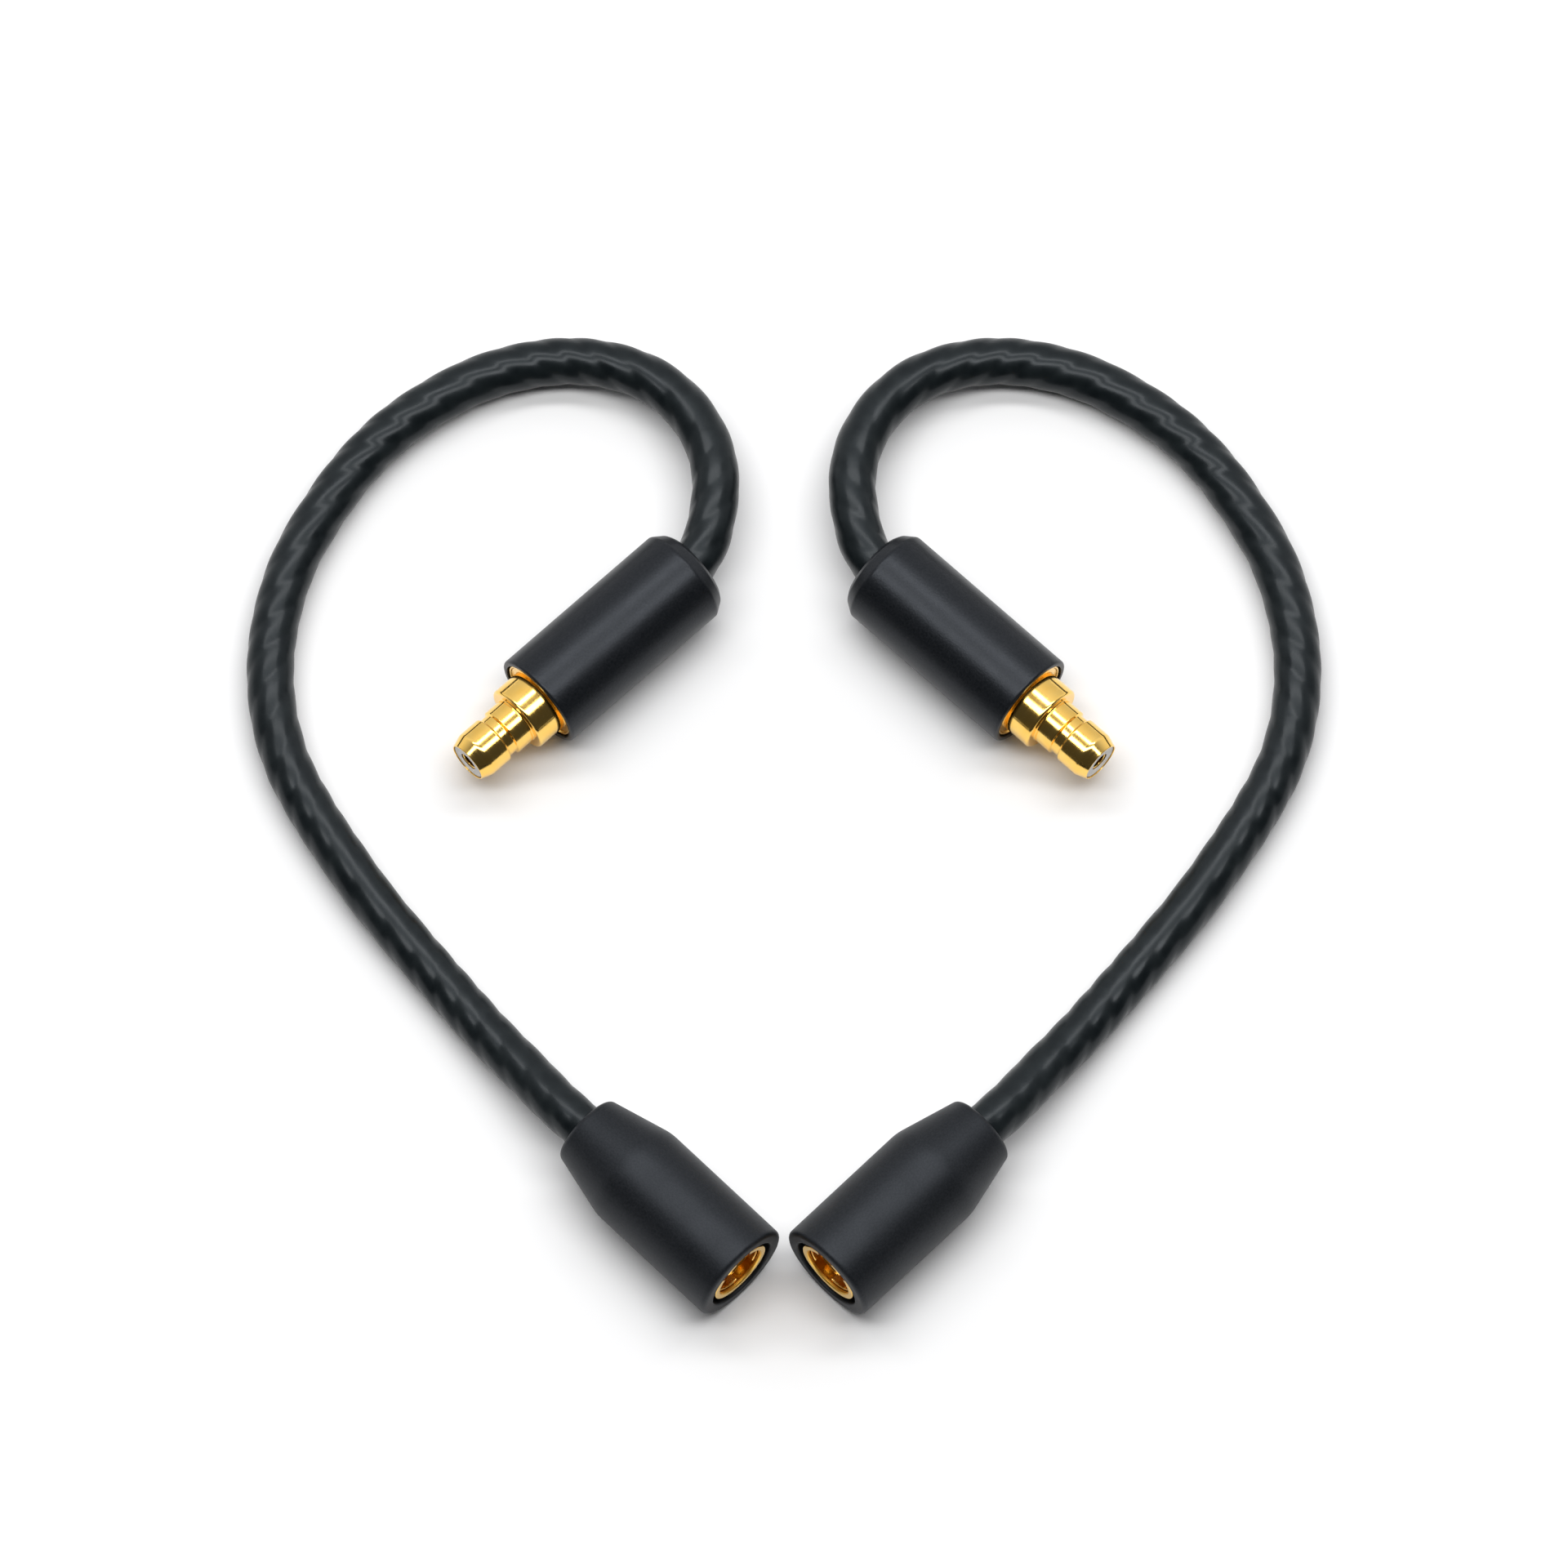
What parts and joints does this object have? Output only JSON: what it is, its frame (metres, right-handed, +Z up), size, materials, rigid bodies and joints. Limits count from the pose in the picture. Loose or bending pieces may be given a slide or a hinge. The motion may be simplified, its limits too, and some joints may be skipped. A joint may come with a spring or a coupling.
{
  "type": "in-ear monitor adapter leads",
  "caption": "Pair of short black ear-hook adapter leads for in-ear monitors, each with a gold coaxial snap plug in a round barrel and a recessed coaxial socket in a tapered barrel.",
  "frame": {"origin": "on the surface the leads lie on, midway between the two leads and midway between the rear edges of the plug barrels and the front edges of the socket barrels", "axes": "+Z up from that surface, +Y from the sockets towards the ear hooks, +X from the left lead to the right lead"},
  "size_m": [0.0584, 0.057, 0.006],
  "materials": {
    "barrel": "bead-blasted and black anodised, satin",
    "jacket": "black flexible PVC over twisted cores, semi-gloss",
    "gold_plate": "gold plated, turned, polished",
    "spring_ring": "gold-plated spring bronze",
    "insulator": "pale grey fluoropolymer",
    "ferrule": "plain turned brass",
    "signal_wire": "red enamelled strand",
    "ground_wire": "green enamelled strand",
    "solder": "bright tin solder",
    "sleeving": "matte heat-shrink sleeve",
    "glue": "cured amber glue"
  },
  "bodies": {
    "left_lead": {"left_plug_housing": "barrel", "left_plug_outer_contact": "gold_plate", "left_plug_insulator": "insulator", "left_plug_center_contact": "gold_plate", "left_plug_crimp_ring": "ferrule", "left_plug_signal_wire": "signal_wire", "left_plug_ground_wire": "ground_wire", "left_plug_glue_fill": "glue", "left_plug_signal_solder": "solder", "left_plug_ground_solder": "solder", "left_plug_heat_shrink": "sleeving", "left_socket_housing": "barrel", "left_socket_outer_contact": "gold_plate", "left_socket_insulator": "insulator", "left_socket_center_pin": "gold_plate", "left_socket_crimp_ring": "ferrule", "left_socket_signal_wire": "signal_wire", "left_socket_ground_wire": "ground_wire", "left_socket_glue_fill": "glue", "left_socket_signal_solder": "solder", "left_socket_ground_solder": "solder", "left_socket_heat_shrink": "sleeving", "left_cable": "jacket"},
    "left_snap_ring": {"left_socket_snap_ring": "spring_ring"},
    "right_lead": {"right_plug_housing": "barrel", "right_plug_outer_contact": "gold_plate", "right_plug_insulator": "insulator", "right_plug_center_contact": "gold_plate", "right_plug_crimp_ring": "ferrule", "right_plug_signal_wire": "signal_wire", "right_plug_ground_wire": "ground_wire", "right_plug_glue_fill": "glue", "right_plug_signal_solder": "solder", "right_plug_ground_solder": "solder", "right_plug_heat_shrink": "sleeving", "right_socket_housing": "barrel", "right_socket_outer_contact": "gold_plate", "right_socket_insulator": "insulator", "right_socket_center_pin": "gold_plate", "right_socket_crimp_ring": "ferrule", "right_socket_signal_wire": "signal_wire", "right_socket_ground_wire": "ground_wire", "right_socket_glue_fill": "glue", "right_socket_signal_solder": "solder", "right_socket_ground_solder": "solder", "right_socket_heat_shrink": "sleeving", "right_cable": "jacket"},
    "right_snap_ring": {"right_socket_snap_ring": "spring_ring"}
  },
  "joints": [
    {"name": "leads_apart", "type": "slide", "parent": "left_lead", "child": "right_lead", "axis": [1, 0, 0], "range_m": [0, 0.06]},
    {"name": "left_snap_ring_turn", "type": "hinge", "parent": "left_lead", "child": "left_snap_ring", "pos_m": [-0.0027, -0.02004, 0.003], "axis": [0.7096, -0.7046, 0], "continuous": true},
    {"name": "right_snap_ring_turn", "type": "hinge", "parent": "right_lead", "child": "right_snap_ring", "pos_m": [0.0027, -0.02004, 0.003], "axis": [-0.7096, -0.7046, 0], "continuous": true}
  ]
}
